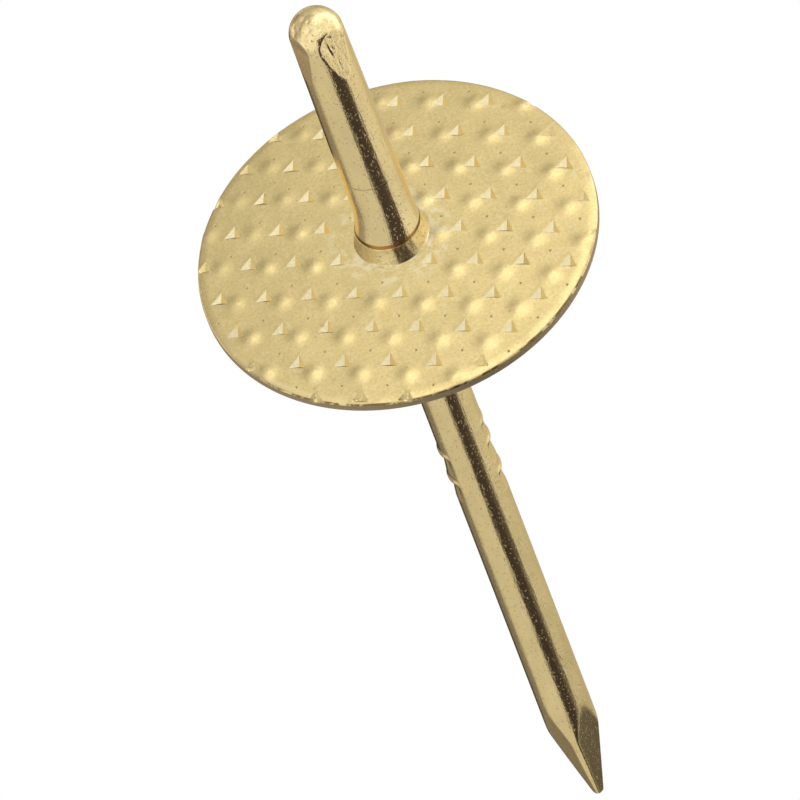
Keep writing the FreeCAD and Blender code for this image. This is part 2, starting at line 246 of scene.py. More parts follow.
# A grip mark along the nail: levels from its place, and the skin's rise in shares of its depth.
BARB_LEVELS = [-0.47, -0.32, -0.24, 0.06, 1.0]
BARB_RISES = [0.0, 0.62, 0.62, -1.0, 0.0]
# Sine of the angle to the side where a mark starts and where it is whole.
BARB_START, BARB_WHOLE = 0.76, 0.93
# The second mark on one side stands this much earlier, and the light mark this share of a pitch.
SECOND_SHIFT, LIGHT_SHARE = 0.2, 0.62
# Dents in the stub's end: place from the cap's centre, long way, reach along and across it, depth.
STUB_DENTS = (
    ((-0.283, -0.790, -0.487), (1.0, 0.0, 0.0), 0.20, 0.17, 0.075),
    ((-0.283, -0.911, 0.021), (1.0, 0.0, 0.3), 0.26, 0.20, 0.070),
    ((0.143, -0.750, -0.608), (1.0, 0.2, 0.0), 0.13, 0.08, 0.040),
    ((0.260, -0.775, -0.526), (1.0, 0.0, 0.0), 0.06, 0.05, 0.035),
    ((0.493, -0.595, -0.627), (1.0, 0.0, 0.0), 0.06, 0.05, 0.030),
    ((-0.167, -0.920, -0.190), (1.0, 0.0, 0.0), 0.07, 0.06, 0.045),
    ((-0.167, -0.624, -0.753), (0.2, 1.0, 0.0), 0.11, 0.07, 0.060),
    ((0.200, 0.365, -0.875), (0.08, 1.0, 0.0), 0.36, 0.045, 0.030),
    ((0.377, -0.245, -0.784), (0.0, 1.0, 0.0), 0.06, 0.05, 0.022),
    ((0.338, 0.335, -0.804), (0.0, 1.0, 0.0), 0.06, 0.05, 0.022),
    ((0.35, -1.00, 0.45), (1.0, 0.0, 0.3), 0.16, 0.10, 0.030),
)


def nail_rows(n):
    """Level, radius and axis offset of each ring of the nail, from the stub's end to the tip.

    The end is a spherical cap, the stub a slim cone, the foot a flare that eases back towards
    the shank's axis, and the shank a tapered seat and a cylinder.
    """
    crown = (n.end_radius ** 2 + n.end_rise ** 2) / (2.0 * n.end_rise)
    slant = np.linspace(CAP_START, math.asin(n.end_radius / crown), CAP_RINGS)
    cap = np.stack([n.stub_end + crown * (1.0 - np.cos(slant)), crown * np.sin(slant)], axis=1)
    low = n.stub_end + n.end_rise
    level = np.linspace(low, n.foot_top, STUB_RINGS)[1:]
    along = (level - low) / (n.foot_top - low)
    stub = np.stack([level, n.end_radius + (n.neck_radius - n.end_radius) * along], axis=1)
    flare = n.foot_radius - n.neck_radius
    level = np.linspace(n.foot_top, n.shoulder - LIP_ROUND, FOOT_RINGS)[1:]
    along = (level - n.foot_top) / (n.shoulder - n.foot_top)
    foot = np.stack([level, n.neck_radius + flare * along ** FOOT_POWER], axis=1)
    turn = np.linspace(0.0, 0.5 * math.pi, LIP_RINGS)[1:]
    lip = np.stack([n.shoulder - LIP_ROUND + LIP_ROUND * np.sin(turn),
                    foot[-1, 1] - LIP_ROUND * (1.0 - np.cos(turn))], axis=1)
    head = np.concatenate([cap, stub, foot, lip])
    along = np.clip((head[:, 0] - n.foot_top) / (n.shoulder - n.foot_top), 0.0, 1.0)
    ease = along ** FOOT_POWER
    offset = n.stub_offset + (n.foot_offset - n.stub_offset) * ease
    tip_start = n.tip - n.point_round
    grip = n.notch_first - GRIP_BEFORE
    grip_end = n.notch_first + n.notch_pitch + GRIP_AFTER
    point_start = n.tip - n.point_length - POINT_BEFORE
    stops = (n.shoulder, 0.0, grip, grip_end, point_start, tip_start)
    runs = [np.linspace(*run)[1:] for run in zip(stops, stops[1:], SHANK_RINGS)]
    end = tip_start + n.point_round * np.sin(np.linspace(0.0, TIP_SWEEP, TIP_RINGS)[1:])
    levels = np.concatenate([[n.shoulder], *runs, end])
    taper = np.clip((levels - n.shoulder) / (SEAT_END - n.shoulder), 0.0, 1.0)
    radius = n.seat_radius + (n.shank_radius - n.seat_radius) * taper
    rows = np.concatenate([
        np.column_stack([head, offset]),
        np.column_stack([levels, radius, np.zeros_like(levels)]),
    ])
    return rows.T


def flat_bound(around, facing, away):
    """Radius at each angle of a flat that faces one way: away / cos(angle - facing)."""
    lean = np.cos(around - facing)
    return np.where(lean > LEAST_LEAN, away / np.maximum(lean, LEAST_LEAN), NO_BOUND)


def soft_least(values, softness):
    """The least of several arrays, eased: least - k log(sum(exp((least - value) / k)))."""
    least = values.min(axis=0)
    return least - softness * np.log(np.exp((least - values) / softness).sum(axis=0))


def nail_surface(n):
    """Points of the nail on a grid of rings and of angles about its axis.

    The angle runs from -Z towards +X. A flat at distance d from the axis whose normal stands at
    angle a bounds the radius to d / cos(angle - a). The flats of the point, its ridges and the
    stub's end are such bounds, and the least of them, eased at the point, is the radius.
    """
    level, radius, offset = (row[:, None] for row in nail_rows(n))
    flat_turn = 0.5 * math.pi - n.point_turn
    count = int(n.around)
    # Corners between the flats fall on columns of the grid.
    around = (flat_turn + 0.25 * math.pi + TURN * np.arange(count) / count)[None, :]
    r = np.repeat(radius, count, axis=1)

    along = (level - (n.tip - n.point_length)) / n.point_length
    flat = n.shank_radius + (n.point_half - n.shank_radius) * along
    flat = flat + 4.0 * n.point_bulge * np.maximum(along, 0.0) * (1.0 - along)
    ridge_along = (level - (n.tip - n.ridge_length)) / n.ridge_length
    ridge = n.shank_radius + (n.ridge_half - n.shank_radius) * ridge_along
    bounds = [r]
    for eighth in range(8):
        away = np.maximum(ridge if eighth % 2 else flat, 0.0)
        bounds.append(flat_bound(around, flat_turn + 0.25 * math.pi * eighth, away))
    r = soft_least(np.stack(bounds), POINT_SOFTNESS)
    past = np.clip(level - (n.tip - n.point_round), 0.0, n.point_round)
    blunt = np.sqrt(np.maximum(n.point_round ** 2 - past ** 2, 0.0))
    r = np.where(past > 0.0, np.minimum(r, blunt), r)

    # Each grip mark is a barb: the skin rises to a burr, dives behind it and eases back up.
    side = np.sin(around)
    first, pitch = n.notch_first, n.notch_pitch
    for place, depth, way in (
        (first, n.notch_depth, 1.0), (first, n.notch_depth, -1.0),
        (first + pitch, n.notch_depth, 1.0),
        (first + pitch - SECOND_SHIFT, n.notch_depth, -1.0),
        (first - LIGHT_SHARE * pitch, n.light_depth, 1.0),
    ):
        barb = np.interp(level - place, BARB_LEVELS, BARB_RISES)
        r = r + depth * barb * smooth_step(way * side, BARB_START, BARB_WHOLE)

    # The dies pinched the stub's end: two flats, a quarter turn apart, that run out along it.
    past = np.maximum(level - (n.stub_end + n.flat_length), 0.0)
    for deep, quarter in ((n.end_flat, 0.0), (n.side_flat, 0.5 * math.pi)):
        away = n.end_radius - deep + deep * past / n.flat_run
        facing = 0.5 * math.pi - (n.flat_turn + quarter)
        r = np.minimum(r, flat_bound(around, facing, away))

    x = offset + r * side
    z = -r * np.cos(around)
    y = np.repeat(level, count, axis=1)
    points = np.stack([x, y, z], axis=-1)
    dents = stub_dents(points, n)
    outward = np.stack([side + 0 * y, np.zeros_like(y), -np.cos(around) + 0 * y], axis=-1)
    cap_share = np.clip((n.stub_end + n.end_rise - y) / n.end_rise, 0.0, 1.0)[..., None]
    normal = outward * np.sqrt(1.0 - cap_share ** 2) + np.array([0.0, -1.0, 0.0]) * cap_share
    return points - dents[..., None] * normal


def stub_dents(points, n):
    """Depth of the dents in the stub's end: each is a bell curve about a place, long or round."""
    centre = np.array([n.stub_offset, n.stub_end + n.end_rise, 0.0])
    depth = np.zeros(points.shape[:2])
    for place, way, reach_along, reach_across, deep in STUB_DENTS:
        way = np.array(way) / np.linalg.norm(way)
        gap = points - centre - np.array(place)
        along = gap @ way
        across = np.linalg.norm(gap - along[..., None] * way, axis=-1)
        depth += deep * np.exp(-(along / reach_along) ** 2 - (across / reach_across) ** 2)
    return depth


def closed_tube(points):
    """Points and faces of rings in a row, with a middle point that closes each end."""
    rows, columns = points.shape[:2]
    ends = np.stack([points[0].mean(axis=0), points[-1].mean(axis=0)])
    ends[0, 1] = min(ends[0, 1], points[0, :, 1].min())
    ends[1, 1] = max(ends[1, 1], points[-1, :, 1].max())
    ring = np.arange(columns)
    after = np.roll(ring, -1)
    first = rows * columns
    last = first + 1
    base = (rows - 1) * columns
    caps = [np.stack([np.full(columns, first), after, ring], axis=1),
            np.stack([np.full(columns, last), base + ring, base + after], axis=1)]
    quads = grid_faces(rows, columns)
    faces = quads.tolist() + caps[0].tolist() + caps[1].tolist()
    return np.concatenate([points.reshape(-1, 3), ends]), faces


# Disc


# Steps of the disc's grid from one pit to the next, and along a pit's side.
STEPS = 24
PIT_STEPS = 9
# Pits of the die behind: their pitch against the front's, their turn against it, and one place.
BACK_PITCH = 1.041
BACK_TURN = math.radians(-2.3)
BACK_PLACE = (-0.015, -1.78)
# On the back, the share of the depth that pits and bumps have, and where they end inside the rim.
BACK_PIT, BACK_BUMP = 0.4, 0.5
BACK_FADE, BACK_END = 0.5, 0.1
# A site's two coordinates mixed into a steady number, and the depths made from it.
WEAR_X, WEAR_Z, WEAR_SPREAD = 12.9898, 78.233, 43758.5453
WEAR_LEAST, WEAR_RANGE, WEAR_LOST = 0.82, 0.26, 0.22
# Where the wear at the upper left of the disc starts and where it is greatest.
WORN_FROM, WORN_MOST = 5.0, 9.0
# Raised edge round a pit: its reach in shares of the pit, and its height in millimetres.
PRESS_REACH, PRESS_HEIGHT = 0.45, 0.008
# Slow waves of the sheet: their height, and the turn and start of each along X and Z.
WAVE_HEIGHT = 0.006
WAVE_X, WAVE_Z = (1.3, 0.7), (1.1, -0.4)
# Soft bumps keep this far from the plain metal, and the sheet is never thinner than this.
BUMP_CLEAR, LEAST_SHEET = 0.5, 0.12
# Levels down the cut rim, its broken lower corner, and the level below which it has no dips.
RIM_LEVELS = [-0.24, -0.13, -0.035, -0.005]
RIM_BREAK, RIM_PLAIN = 0.03, -0.10
# Band of the rim that stands back, how far, and its roughness: share, two turns and a start.
BAND_LOW, BAND_HIGH, BAND_DEPTH = -0.26, -0.1, 0.010
BAND_ROUGH, BAND_FINE, BAND_COARSE, BAND_START = 0.48, 211.0, 37.0, 1.0
# Points on a quarter round, and the least length that is divided by.
ROUND_STEPS, TINY = 7, 1e-9
# How the collar's radius grows from its top to its foot: 1 is a straight cone.
FLARE_POWER = 1.5
# Rings up the collar's wall, the height of its rounded top, and that top's radius and level steps.
WALL_RINGS, TOP_ROUND = 31, 0.05
TOP_STEPS = ((-0.015, 0.02), (-0.05, 0.004))
# Hole of the collar: its radius at the top, below it and at the back, and its widest ring.
HOLE_TOP, HOLE_NEXT, HOLE_BACK, HOLE_WIDE = 1.042, 1.040, 1.034, 1.45
HOLE_NEXT_DROP = 0.3
# Shares of the way to the back: the wall ends, the hole, its bend starts, and the back starts.
WALL_SHARE, HOLE_SHARE, BEND_SHARE, BACK_SHARE = 0.25, 0.5, 0.6, 0.75
# The wall follows the sheet's own level from this far in front of it to this far behind.
FOLLOW_FRONT, FOLLOW_BACK = 0.45, 0.02
# Draw marks on the collar: share, count round it, lean along it and start, then height and levels.
RIPPLES = ((1.0, 9.0, 2.0, 0.0), (0.7, 17.0, -3.0, 1.3), (0.5, 29.0, 1.0, 0.4))
RIPPLE_HEIGHT, RIPPLE_START, RIPPLE_WHOLE = 0.007, 0.88, 1.1


def lattice(pitch, turn):
    """The two rows of a lattice of equal triangles, 60 degrees apart."""
    angles = np.array([turn, turn + math.radians(60.0)])
    return pitch * np.stack([np.cos(angles), np.sin(angles)], axis=1)


def nearest_site(flat, rows, place):
    """Each point's vector from the nearest site of a lattice, and that site."""
    cell = (flat - place) @ np.linalg.inv(rows)
    base = np.floor(cell)
    best = np.full(len(flat), np.inf)
    gap = np.zeros_like(flat)
    site = np.zeros_like(flat)
    for corner in ((0, 0), (1, 0), (0, 1), (1, 1)):
        here = (base + corner) @ rows + place
        away = flat - here
        far = np.einsum("ij,ij->i", away, away)
        closer = far < best
        best = np.where(closer, far, best)
        gap = np.where(closer[:, None], away, gap)
        site = np.where(closer[:, None], here, site)
    return gap, site


def wear(site):
    """A steady share of full depth for each site, about 0.8 to 1.1, less at the upper left."""
    mixed = np.sin(site[:, 0] * WEAR_X + site[:, 1] * WEAR_Z) * WEAR_SPREAD
    lost = WEAR_LOST * smooth_step(site[:, 1] - site[:, 0], WORN_FROM, WORN_MOST)
    return WEAR_LEAST + WEAR_RANGE * (mixed - np.floor(mixed)) - lost


def pyramid(gap, side, turn):
    """1 at the middle of a three-sided pit and falling to 0 at its edges; below 0 outside it."""
    inner = side / (2.0 * math.sqrt(3.0))
    facing = turn - 0.5 * math.pi + np.arange(3) * TURN / 3.0
    reach = gap @ np.stack([np.cos(facing), np.sin(facing)])
    return 1.0 - reach.max(axis=1) / inner


def disc_shape(d):
    """Shared numbers of the disc: its spheres, rings, rows of pits and the pit's side."""
    back_sphere = (d.radius ** 2 + d.dome ** 2) / (2.0 * d.dome)
    return SimpleNamespace(
        back_sphere=back_sphere,
        front_sphere=back_sphere + d.thickness,
        middle=back_sphere - d.dome,
        rim=d.radius - d.rim_round,
        hole=np.array([-d.offset, 0.0]),
        foot_middle=np.array([d.foot_offset - d.offset, 0.0]),
        rows=lattice(d.pit_pitch, d.pit_turn),
        place=np.array([d.pit_x, d.pit_z]),
        side=d.pit_pitch * PIT_STEPS / STEPS,
        back_rows=lattice(d.pit_pitch * BACK_PITCH, d.pit_turn + BACK_TURN),
        back_place=np.array(BACK_PLACE),
    )


def pit_field(flat, rows, place, turn, d, s):
    """Depth of the pits at points of the sheet, none beside the collar, and how far outside a pit."""
    gap, site = nearest_site(flat, rows, place)
    reach = s.side / math.sqrt(3.0)
    kept = np.linalg.norm(site - s.hole, axis=1) > d.plain_reach + reach
    shape = pyramid(gap, s.side, turn)
    depth = np.where(kept, np.clip(shape, 0.0, 1.0) * wear(site), 0.0)
    return depth, np.where(kept & (depth <= 0.0), np.maximum(-shape, 0.0), np.inf)


def bell_field(flat, rows, place, d, s):
    """Soft bumps over a lattice, each a bell curve, fading out beside the collar."""
    gap, site = nearest_site(flat, rows, place)
    from_hole = np.linalg.norm(site - s.hole, axis=1)
    bell = np.exp(-(np.linalg.norm(gap, axis=1) / d.bump_radius) ** 2)
    return np.where(from_hole > d.plain_reach + BUMP_CLEAR, bell * wear(site), 0.0)


def sphere_level(far, sphere, s):
    """Level of one of the sheet's spheres at a distance from its axis."""
    return s.middle - np.sqrt(sphere ** 2 - far ** 2)


def front_level(flat, d, s):
    """Front of the sheet: a sphere with pits, their raised edges, soft bumps and slow waves."""
    far = np.minimum(np.linalg.norm(flat, axis=1), d.radius)
    level = sphere_level(far, s.front_sphere, s)
    pits, outside = pit_field(flat, s.rows, s.place, d.pit_turn, d, s)
    bumps = bell_field(flat, s.back_rows, s.back_place, d, s)
    raised = np.exp(-(outside / PRESS_REACH) ** 2)
    waves = np.sin(flat[:, 0] * WAVE_X[0] + WAVE_X[1]) * np.sin(flat[:, 1] * WAVE_Z[0] + WAVE_Z[1])
    rolled = np.clip((np.linalg.norm(flat, axis=1) - d.radius) / d.roll_width + 1.0, 0.0, 1.0)
    level = level + d.roll_depth * rolled ** 2
    level = level + d.pit_depth * pits - d.bump_height * bumps
    return level - PRESS_HEIGHT * raised + WAVE_HEIGHT * waves


def back_level(flat, d, s):
    """Back of the sheet: a sphere with the other die's pits, and bumps behind the front's pits."""
    far = np.minimum(np.linalg.norm(flat, axis=1), d.radius)
    level = sphere_level(far, s.back_sphere, s)
    turn = d.pit_turn + BACK_TURN + math.pi
    pits = pit_field(flat, s.back_rows, s.back_place, turn, d, s)[0]
    bumps = bell_field(flat, s.rows, s.place, d, s)
    room = 1.0 - smooth_step(far, d.radius - BACK_FADE, d.radius - BACK_END)
    level = level + room * (BACK_BUMP * d.bump_height * bumps)
    return level - BACK_PIT * d.pit_depth * pits * room


def onto_circle(flat, middle, radius):
    """Points moved straight out or in on to a circle."""
    away = flat - middle
    return middle + away * (radius / np.maximum(np.linalg.norm(away, axis=1), TINY))[:, None]


def disc_sheet(d, s):
    """Points of the sheet on a lattice that follows the pits, and its triangles.

    The points are place + i a / n + j b / n for the rows a and b, so that a pit's edges and its
    middle fall on points. Points near the rim or the collar's foot move on to those circles, and
    a whole pit is three flats that meet in its middle.
    """
    cell = d.pit_pitch / STEPS
    reach = d.radius + np.linalg.norm(s.place)
    most = int(math.ceil(reach / (cell * math.sin(math.radians(60.0)))))
    steps = np.arange(-most, most + 1)
    i, j = (grid.ravel() for grid in np.meshgrid(steps, steps, indexing="ij"))
    wide = len(steps)
    flat = np.stack([i, j], axis=1) @ (s.rows / STEPS) + s.place
    far = np.linalg.norm(flat, axis=1)
    from_hole = np.linalg.norm(flat - s.foot_middle, axis=1)
    on_rim = np.abs(far - s.rim) <= 0.5 * cell
    on_foot = np.abs(from_hole - d.collar_foot) <= 0.5 * cell
    used = (far <= s.rim + 0.5 * cell) & (from_hole >= d.collar_foot - 0.5 * cell)
    for moved, middle, radius in ((on_foot, s.foot_middle, d.collar_foot), (on_rim, np.zeros(2), s.rim)):
        flat = np.where(moved[:, None], onto_circle(flat, middle, radius), flat)

    start = (np.arange(wide - 1)[:, None] * wide + np.arange(wide - 1)[None, :]).ravel()
    lower = np.stack([start, start + wide, start + 1], axis=1)
    upper = np.stack([start + wide, start + wide + 1, start + 1], axis=1)
    faces = np.concatenate([lower, upper])
    faces = faces[used[faces].all(axis=1)]
    faces = faces[~on_rim[faces].all(axis=1) & ~on_foot[faces].all(axis=1)]
    plain = faces

    half = STEPS // 2
    third = PIT_STEPS // 3
    local_i = (i + half) % STEPS - half
    local_j = (j + half) % STEPS - half
    in_pit = (local_i >= -third) & (local_j >= -third) & (local_i + local_j <= third)
    site = np.stack([i - local_i, j - local_j], axis=1) @ (s.rows / STEPS) + s.place
    reach = s.side / math.sqrt(3.0)
    whole = np.linalg.norm(site, axis=1) + reach < s.rim - cell
    whole &= np.linalg.norm(site - s.hole, axis=1) > d.plain_reach + reach
    pit_face = (in_pit & whole)[faces].all(axis=1)
    outer = faces[~pit_face]

    step = np.arange(PIT_STEPS)
    ring_i = np.concatenate([-third + step, 2 * third - step, np.full(PIT_STEPS, -third)])
    ring_j = np.concatenate([np.full(PIT_STEPS, -third), -third + step, 2 * third - step])
    middles = np.nonzero((local_i == 0) & (local_j == 0) & whole)[0]
    ring = middles[:, None] + (ring_i * wide + ring_j)[None, :]
    after = np.roll(ring, -1, axis=1)
    fans = np.stack([ring, after, np.repeat(middles[:, None], 3 * PIT_STEPS, axis=1)], axis=-1)
    front_faces = np.concatenate([outer, fans.reshape(-1, 3)])

    dots = (local_i == STEPS // 3 + 1) & (local_j == STEPS // 3)
    return flat, front_faces, plain, len(outer), dots, on_rim, on_foot


def boundary(faces, on_circle, flat, centre):
    """Points of a sheet's edge that lie on one circle, in order of their angle about its centre."""
    edges = np.sort(np.concatenate([faces[:, [0, 1]], faces[:, [1, 2]], faces[:, [2, 0]]]), axis=1)
    edges, times = np.unique(edges, axis=0, return_counts=True)
    edge = np.unique(edges[times == 1])
    edge = edge[on_circle[edge]]
    away = flat[edge] - centre
    return edge[np.argsort(np.arctan2(away[:, 1], away[:, 0]))]


def rim_strip(flat, d, s):
    """Rings of points down the rim from the front's edge: a rounded corner and a rough cut band."""
    turn = np.arctan2(flat[:, 1], flat[:, 0])
    sweep = np.linspace(0.0, 0.5 * math.pi, ROUND_STEPS)[1:]
    top = sphere_level(s.rim, s.front_sphere, s)
    radius = np.concatenate([s.rim + d.rim_round * np.sin(sweep),
                             [d.radius] * 3, [d.radius - RIM_BREAK]])
    level = np.concatenate([top + d.rim_round * (1.0 - np.cos(sweep)), RIM_LEVELS])
    ring = radius[:, None, None] * np.stack([np.cos(turn), np.sin(turn)], axis=-1)[None]
    dip = np.stack([front_level(r, d, s) for r in ring])
    far = np.minimum(np.linalg.norm(ring, axis=-1), d.radius)
    hold = np.clip((RIM_PLAIN - level) / (RIM_PLAIN - top), 0.0, 1.0)[:, None]
    heights = level[:, None] + (dip - sphere_level(far, s.front_sphere, s)) * hold
    rough = BAND_ROUGH * np.sin(turn * BAND_FINE) * np.sin(turn * BAND_COARSE + BAND_START)
    band = np.where((level > BAND_LOW) & (level < BAND_HIGH), BAND_DEPTH, 0.0)[:, None]
    shrink = 1.0 - band * (1.0 + rough[None]) / d.radius
    return np.stack([ring[..., 0] * shrink + d.offset, heights, ring[..., 1] * shrink], axis=-1)


def collar_strip(flat, front, back, d, s):
    """Rings of points up the collar and down its hole, from the sheet's own front to its back."""
    away = flat - s.foot_middle
    turn = np.arctan2(away[:, 1], away[:, 0])
    profile = collar_profile(d, s)
    level, way = profile[:, 1:2], profile[:, 2:3]
    radius = profile[:, :1] + collar_roughness(turn[None, :], level, way)
    base = s.middle - s.front_sphere
    blend = smooth_step(level, base - FOLLOW_FRONT, base + FOLLOW_BACK) * (way < WALL_SHARE)
    heights = level + (front - base)[None, :] * blend
    heights = heights + (back - (s.middle - s.back_sphere))[None, :] * (way > BACK_SHARE)
    across = profile[:, 3:] + radius * np.cos(turn)
    return np.stack([across, heights, radius * np.sin(turn)], axis=-1)


def disc_surface(d):
    """The whole disc: front, back, rim and collar as one closed skin.

    The rim and the collar are profiles of radius and level carried round the two circles where
    the front and the back end. It also gives a mask for each side of a pit, one colour channel
    to a side, and a mask of the pinpricks.
    """
    s = disc_shape(d)
    flat, front_faces, back_faces, first_pit, dots, on_rim, on_foot = disc_sheet(d, s)
    front = front_level(flat, d, s) + np.where(dots, d.dot_depth, 0.0)
    back = np.maximum(back_level(flat, d, s), front + LEAST_SHEET)
    count = len(flat)
    across = flat[:, 0] + d.offset
    points = [np.stack([across, level, flat[:, 1]], axis=1) for level in (front, back)]
    faces = [front_faces, back_faces[:, ::-1] + count]
    total = 2 * count
    rim = boundary(back_faces, on_rim, flat, np.zeros(2))
    foot = boundary(back_faces, on_foot, flat, s.foot_middle)
    for strip, first, last, way in (
        (rim_strip(flat[rim], d, s), rim, rim + count, 1),
        (collar_strip(flat[foot], front[foot], back[foot], d, s), foot + count, foot, -1),
    ):
        rings = total + np.arange(strip[..., 0].size).reshape(strip.shape[:2])
        faces.append(join_rings(first, rings[::way], last))
        points.append(strip.reshape(-1, 3))
        total += rings.size

    every = np.concatenate(faces)
    points = np.concatenate(points)
    keep = np.unique(every)
    order = np.zeros(total, int)
    order[keep] = np.arange(len(keep))
    sides = np.zeros((len(every), 4))
    pit_face = np.arange(first_pit, len(front_faces))
    sides[pit_face, (pit_face - first_pit) % (3 * PIT_STEPS) // PIT_STEPS] = 1.0
    pricks = np.zeros(total)
    pricks[:count] = dots
    return points[keep], order[every], sides, pricks[keep]


def collar_profile(d, s):
    """Radius, level, share of the way to the back, and axis offset, up the collar and down its hole.

    The wall's radius is top + (foot - top) u^p, with u from 0 at the top to 1 at the foot.
    """
    base = s.middle - s.front_sphere
    back = s.middle - s.back_sphere
    top = base - d.collar_height
    u = np.linspace(1.0, 0.0, WALL_RINGS)[1:]
    wall = np.stack([d.collar_top + (d.collar_foot - d.collar_top) * u ** FLARE_POWER,
                     top + TOP_ROUND + (base - top - TOP_ROUND) * u], axis=1)
    lip = np.array([d.collar_top, top]) + np.array(TOP_STEPS)
    entry = back - d.hole_bend
    bore = np.array([[HOLE_TOP, lip[-1, 1]], [HOLE_NEXT, top + HOLE_NEXT_DROP], [HOLE_BACK, entry]])
    sweep = np.linspace(0.0, 0.5 * math.pi, ROUND_STEPS)[1:]
    mouth = np.stack([HOLE_BACK + d.hole_bend * (1.0 - np.cos(sweep)),
                      entry + d.hole_bend * np.sin(sweep)], axis=1)
    rows = np.concatenate([wall, lip, bore, mouth, [[HOLE_WIDE, back]]])
    way = np.concatenate([np.zeros(len(wall)), np.full(len(lip) + len(bore), HOLE_SHARE),
                          np.linspace(BEND_SHARE, 1.0, len(mouth) + 1)])
    wall_offset = d.top_offset + (d.foot_offset - d.top_offset) * u
    offset = np.concatenate([wall_offset, [d.top_offset] * len(lip),
                             np.zeros(len(bore) + len(mouth)), [0.5 * d.foot_offset]])
    return np.column_stack([rows, way, offset])


def collar_roughness(turn, level, way):
    """Draw marks up the collar's wall: a sum of sines round it that lean slowly along it."""
    ripple = sum(part * np.sin(times * turn + lean * level + start)
                 for part, times, lean, start in RIPPLES)
    return RIPPLE_HEIGHT * ripple * (way < WALL_SHARE) * smooth_step(-level, RIPPLE_START, RIPPLE_WHOLE)


def join_rings(first, rings, last):
    """Triangles between neighbouring rings of the same points: first, each of rings, then last."""
    stack = np.concatenate([first[None], rings, last[None]])
    here, after = stack[:-1], stack[1:]
    here_next, after_next = np.roll(here, -1, axis=1), np.roll(after, -1, axis=1)
    one = np.stack([here, here_next, after_next], axis=-1).reshape(-1, 3)
    two = np.stack([here, after_next, after], axis=-1).reshape(-1, 3)
    return np.concatenate([one, two])


# Finishes


# Plating seen edge-on stays brassy.
EDGE_TINT = (0.88, 0.78, 0.56, 1.0)
# Depth of the finest relief, in metres.
RELIEF = 0.000012
# Noises: lumps to the millimetre, detail, roughness, and how much Y is drawn out.
NOISES = {
    "draw": (9.0, 4.0, 0.6, 0.06),
    "specks": (11.0, 3.0, 0.65, 1.0),
    "wire": (1.4, 3.0, 0.55, 0.35),
    "glints": (4.0, 4.0, 0.65, 1.0),
    "nicks": (6.5, 3.0, 0.6, 1.0),
    "scars": (7.0, 2.0, 0.5, 0.22),
    "pocks": (13.0, 2.0, 0.5, 0.5),
    "grain": (16.0, 4.0, 0.6, 1.0),
    "clouds": (0.8, 4.0, 0.6, 1.0),
    "collar": (8.0, 3.0, 0.6, 0.05),
    "sand": (9.0, 3.0, 0.7, 1.0),
    "stains": (2.6, 4.0, 0.6, 1.0),
    "collar_glints": (2.2, 4.0, 0.65, 1.0),
    "breaks": (1.6, 4.0, 0.6, 1.0),
}
# A noise's two levels between which its marks come up.
MARKS = {
    "nicks": (0.64, 0.70), "scars": (0.64, 0.72), "pocks": (0.64, 0.72),
    "stains": (0.68, 0.73), "collar_glints": (0.50, 0.58), "breaks": (0.40, 0.52),
}
# Levels of noises: clouds, painted gold and white glints on the stub's end, and specks of roughness.
CLOUDS, GOLD_GLINTS, WHITE_GLINTS, SPECKS = (0.3, 0.7), (0.42, 0.54), (0.57, 0.63), (0.52, 0.75)
# Levels of the sand noise: grain, grain on the pits' lit sides, grain in the painted rim highlight, and
# painted shade specks on the collar's wall.
SAND, PIT_SAND, RIM_SAND, COLLAR_SHADE_SAND = (0.50, 0.68), (0.40, 0.60), (0.36, 0.50), (0.56, 0.68)
# Parts of the painted shade ring line on the stub and of the painted crease shade at the collar that
# show.
RING_PARTS, CREASE_PARTS = (0.40, 0.58), (0.46, 0.56)
# Shades of a colour: darker and lighter clouds, lifted for a painted highlight, sand and stains.
DARK_CLOUD, LIGHT_CLOUD, HIGHLIGHT_LIFT, SANDY, STAINED = 0.95, 1.05, 1.17, 0.80, 0.6
# Levels along the nail, in millimetres, where the painted glints and shade specks of the end fade and
# where two lines of painted shade lie.
END_FADE = (-13.6, -12.9)
FOOT_LINE = (-1.84, -1.76, -1.56, -1.51)
RING_LINE = (-5.16, -5.12, -5.08, -5.04)
# Reach of the painted shade ring line across the stub, and square of the way from the foot's middle to
# the dark ends of the painted shade line in the gap under the foot.
RING_SIDES = (-0.65, -0.45, 0.75, 0.95)
FOOT_ENDS = (0.5, 1.2)
# On the disc, in millimetres: the collar's reach and level, its flanks with painted reflection, and the
# painted crease shade and painted highlights round it.
COLLAR_FADE, COLLAR_LEVEL, FLANK = (1.70, 1.95), (-0.95, -0.86), (0.3, 1.0)
CREASE_LINE, COLLAR_GLINT_FADE = (1.48, 1.52, 1.56, 1.62), (1.9, 2.9)
# The cut edge, the painted shade line beside it and the painted highlight on the rim: distance inside
# the rim, then level or place.
EDGE_REACH, EDGE_LEVEL = (-0.05, -0.012), (-0.33, -0.29)
LINE_REACH, LINE_LEVEL, LINE_FADE = (-0.07, -0.04), (-0.33, -0.28), (-5.5, -2.5)
RIM_HIGHLIGHT_REACH, RIM_HIGHLIGHT_FADE, RIM_HIGHLIGHT_WAY = (-0.34, -0.20), (6.9, 7.6), (-0.83, -0.56)


class Wire:
    """A node's output that can be added, taken away and multiplied; it adds Math nodes."""

    def __init__(self, tree, socket):
        self.tree = tree
        self.socket = socket

    def maths(self, operation, first, second):
        return self.tree.node("ShaderNodeMath", {"operation": operation}, {0: first, 1: second})

    def __add__(self, other):
        return self.maths("ADD", self, other)

    __radd__ = __add__

    def __sub__(self, other):
        return self.maths("SUBTRACT", self, other)

    def __rsub__(self, other):
        return self.maths("SUBTRACT", other, self)

    def __mul__(self, other):
        return self.maths("MULTIPLY", self, other)

    __rmul__ = __mul__


